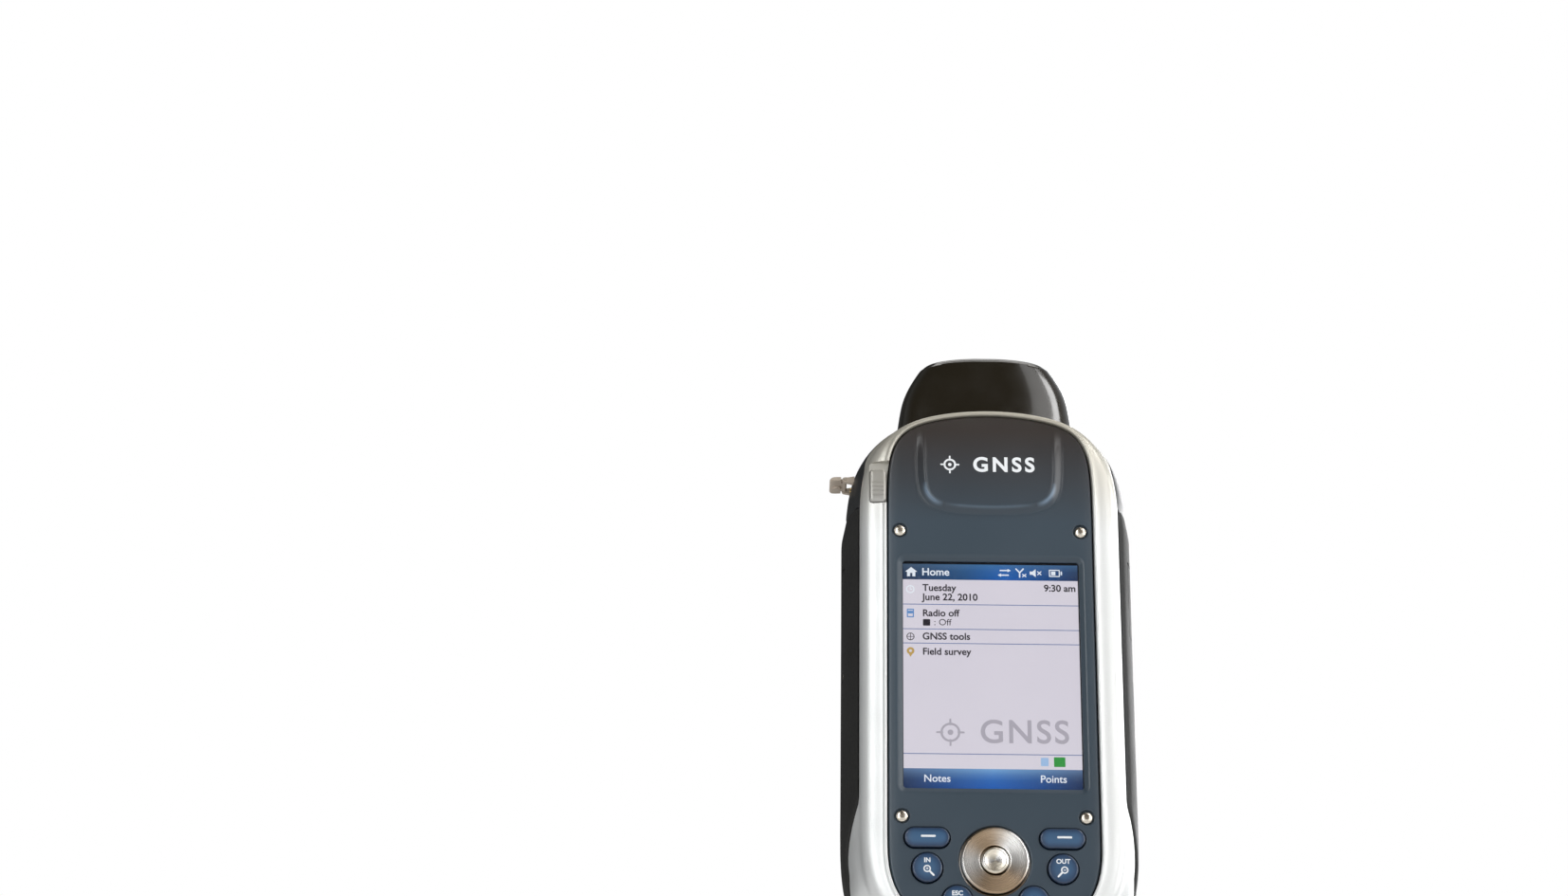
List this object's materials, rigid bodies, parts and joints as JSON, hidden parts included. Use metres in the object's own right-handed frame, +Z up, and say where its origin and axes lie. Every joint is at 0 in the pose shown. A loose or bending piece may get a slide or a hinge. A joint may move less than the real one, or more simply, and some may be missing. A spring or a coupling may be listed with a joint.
{
  "type": "data collector",
  "caption": "Rugged hand-held field computer with a touch display, keypad with round navigation ring, silver frame, side grips and an antenna hood on top.",
  "frame": {"origin": "centre of the flat bracket face on the back, where the pole bracket holds it", "axes": "+Z up along the length towards the antenna hood, the front (display) faces -Y, +X to the right as seen from the front"},
  "size_m": [0.0939, 0.0433, 0.1919],
  "materials": {
    "bezel": "semi-gloss dark blue-grey moulded plastic",
    "frame_silver": "satin silver paint",
    "housing": "fine matte texture",
    "grip": "over-moulded rubber, matte",
    "hood": "polished black radome",
    "touch_glass": "polished",
    "display": "lit display face",
    "key": "navy blue, semi-gloss, white legends",
    "spun_metal": "spun, clear over champagne",
    "stainless": "bright, warm",
    "board": "solder mask",
    "shield_can": "tin plate",
    "seal": "silicone",
    "carrier": "die cast",
    "ceramic": "fired",
    "dark_plastic": "moulded",
    "lens_glass": "polished",
    "contact": "gold flash",
    "cover_rubber": "soft flap, light on its inner face"
  },
  "bodies": {
    "case": {"antenna_board": "board", "antenna_hood": "hood", "antenna_jack": "contact", "battery_contacts": "contact", "battery_pack": "dark_plastic", "battery_well": "housing", "bezel_screw_1": "stainless", "bezel_screw_2": "stainless", "bezel_screw_3": "stainless", "bezel_screw_4": "stainless", "camera_module": "dark_plastic", "camera_window": "lens_glass", "card_socket": "shield_can", "cpu_shield": "shield_can", "display_panel": "display", "dock_connector": "dark_plastic", "door_seal": "seal", "front_bezel": "bezel", "gnss_module": "shield_can", "keypad_board": "board", "keypad_mat": "seal", "main_board": "board", "main_seal": "seal", "memory_card": "dark_plastic", "mid_frame": "carrier", "modem_module": "shield_can", "patch_antenna": "ceramic", "rear_housing": "housing", "rear_screw_1": "stainless", "rear_screw_2": "stainless", "rear_screw_3": "stainless", "rear_screw_4": "stainless", "side_grip_left": "grip", "side_grip_right": "grip", "silver_frame": "frame_silver", "speaker": "dark_plastic", "strap_screw_left": "stainless", "strap_screw_right": "stainless", "stylus_tube": "housing", "touch_gasket": "seal", "touch_glass": "touch_glass"},
    "left_softkey": {"softkey_left": "key"},
    "right_softkey": {"softkey_right": "key"},
    "zoom_in": {"zoom_in_key": "key"},
    "zoom_out": {"zoom_out_key": "key"},
    "escape": {"esc_key": "key"},
    "menu": {"menu_key": "key"},
    "power": {"power_key": "key"},
    "nav_rocker": {"nav_gimbal": "carrier"},
    "nav_disc": {"nav_ring": "spun_metal"},
    "enter": {"enter_button": "spun_metal"},
    "lock": {"lock_slider": "frame_silver"},
    "aerial_cover": {"antenna_cover": "cover_rubber"},
    "card_hatch": {"card_door": "grip"},
    "door": {"battery_door": "housing"},
    "door_turn_left": {"door_screw_left": "stainless"},
    "door_turn_right": {"door_screw_right": "stainless"},
    "pen": {"stylus": "dark_plastic"}
  },
  "joints": [
    {"name": "softkey_left_press", "type": "slide", "parent": "case", "child": "left_softkey", "axis": [0, 1, 0], "range_m": [0, 0.0007], "stiffness_N_per_m": 900, "springref_m": -0.0004},
    {"name": "softkey_right_press", "type": "slide", "parent": "case", "child": "right_softkey", "axis": [0, 1, 0], "range_m": [0, 0.0007], "stiffness_N_per_m": 900, "springref_m": -0.0004},
    {"name": "zoom_in_press", "type": "slide", "parent": "case", "child": "zoom_in", "axis": [0, 1, 0], "range_m": [0, 0.0007], "stiffness_N_per_m": 900, "springref_m": -0.0004},
    {"name": "zoom_out_press", "type": "slide", "parent": "case", "child": "zoom_out", "axis": [0, 1, 0], "range_m": [0, 0.0007], "stiffness_N_per_m": 900, "springref_m": -0.0004},
    {"name": "esc_press", "type": "slide", "parent": "case", "child": "escape", "axis": [0, 1, 0], "range_m": [0, 0.0007], "stiffness_N_per_m": 900, "springref_m": -0.0004},
    {"name": "menu_press", "type": "slide", "parent": "case", "child": "menu", "axis": [0, 1, 0], "range_m": [0, 0.0007], "stiffness_N_per_m": 900, "springref_m": -0.0004},
    {"name": "power_press", "type": "slide", "parent": "case", "child": "power", "axis": [0, 1, 0], "range_m": [0, 0.0007], "stiffness_N_per_m": 900, "springref_m": -0.0004},
    {"name": "enter_press", "type": "slide", "parent": "case", "child": "enter", "axis": [0, 1, 0], "range_m": [0, 0.0007], "stiffness_N_per_m": 900, "springref_m": -0.0004},
    {"name": "nav_tilt_up_down", "type": "hinge", "parent": "case", "child": "nav_rocker", "pos_m": [0, -0.0386, -0.08447], "axis": [1, 0, 0], "range_deg": [-2.5, 2.5], "stiffness_Nm_per_rad": 0.05},
    {"name": "nav_tilt_left_right", "type": "hinge", "parent": "nav_rocker", "child": "nav_disc", "pos_m": [0, -0.0386, -0.08447], "axis": [0, 0, 1], "range_deg": [-2.5, 2.5], "stiffness_Nm_per_rad": 0.05},
    {"name": "lock_slide", "type": "slide", "parent": "case", "child": "lock", "axis": [0, 0, 1], "range_m": [0, 0.0026]},
    {"name": "aerial_cover_hinge", "type": "hinge", "parent": "case", "child": "aerial_cover", "pos_m": [-0.0442, -0.022, 0.0412], "axis": [0, -1, 0], "range_deg": [-8, 90]},
    {"name": "card_door_hinge", "type": "hinge", "parent": "case", "child": "card_hatch", "pos_m": [0.04494, -0.017, 0.002], "axis": [0, 0, 1], "range_deg": [0, 105]},
    {"name": "battery_door_hinge", "type": "hinge", "parent": "case", "child": "door", "pos_m": [0, 0, -0.095], "axis": [-1, 0, 0], "range_deg": [0, 80]},
    {"name": "door_screw_left_turn", "type": "hinge", "parent": "door", "child": "door_turn_left", "pos_m": [-0.0195, 0, -0.0207], "axis": [0, 1, 0], "range_deg": [0, 90]},
    {"name": "door_screw_right_turn", "type": "hinge", "parent": "door", "child": "door_turn_right", "pos_m": [0.0195, 0, -0.0207], "axis": [0, 1, 0], "range_deg": [0, 90]},
    {"name": "stylus_slide", "type": "slide", "parent": "case", "child": "pen", "axis": [0, 0, 1], "range_m": [0, 0.09]}
  ]
}
